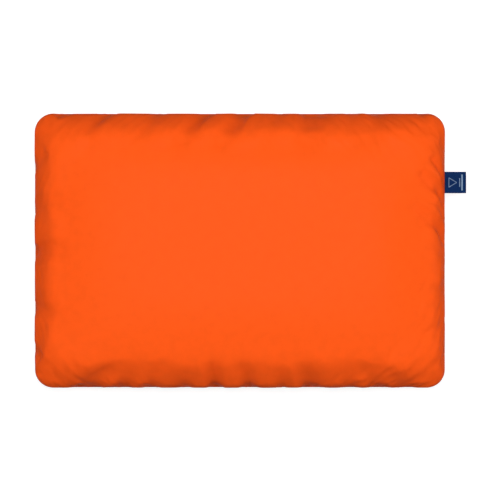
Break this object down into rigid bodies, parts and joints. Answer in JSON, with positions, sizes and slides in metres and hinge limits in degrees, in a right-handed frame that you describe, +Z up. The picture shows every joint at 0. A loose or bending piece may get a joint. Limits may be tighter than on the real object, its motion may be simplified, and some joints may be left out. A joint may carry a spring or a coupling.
{
  "type": "camp pillow",
  "caption": "Rectangular camp pillow: a foam core in a fibre wrap and liner, inside a seamed fabric cover with a side zip and a small woven edge label.",
  "frame": {"origin": "middle of the pillow's flat underside, where it rests", "axes": "+X along the pillow towards the end with the woven label, +Y away from the side with the zip, +Z up through the loft"},
  "size_m": [0.481, 0.305, 0.1],
  "materials": {
    "cover_fabric": "matte",
    "binding_tape": "matte",
    "label_fabric": "matte",
    "care_tape": "satin",
    "zip_tape": "matte",
    "zip_coil": "satin",
    "zip_metal": "satin",
    "liner_fabric": "matte",
    "fibre": "matte",
    "foam": "matte"
  },
  "bodies": {
    "pillow": {"cover_top_panel": "cover_fabric", "cover_bottom_panel": "cover_fabric", "cover_seam_binding": "binding_tape", "care_label": "care_tape", "zip_tape_upper": "zip_tape", "zip_tape_lower": "zip_tape", "zip_coil_upper": "zip_coil", "zip_coil_lower": "zip_coil", "zip_top_stop_upper": "zip_metal", "zip_top_stop_lower": "zip_metal", "zip_bottom_stop": "zip_metal", "liner_top_panel": "liner_fabric", "liner_bottom_panel": "liner_fabric", "fibre_wrap_top": "fibre", "fibre_wrap_bottom": "fibre", "foam_core": "foam"},
    "label": {"woven_label": "label_fabric"},
    "slider": {"zip_slider": "zip_metal"},
    "pull": {"zip_pull_tab": "zip_metal"}
  },
  "joints": [
    {"name": "label_flex", "type": "hinge", "parent": "pillow", "child": "label", "pos_m": [0.22935, 0.076, 0.046], "axis": [0, 1, 0], "range_deg": [-80, 80], "stiffness_Nm_per_rad": 0.0006},
    {"name": "zip_travel", "type": "slide", "parent": "pillow", "child": "slider", "axis": [-1, 0, 0], "range_m": [0, 0.318]},
    {"name": "pull_swing", "type": "hinge", "parent": "slider", "child": "pull", "pos_m": [0.159, -0.15016, 0.02045], "axis": [0, -0.4831, 0.8756], "range_deg": [0, 180]}
  ]
}
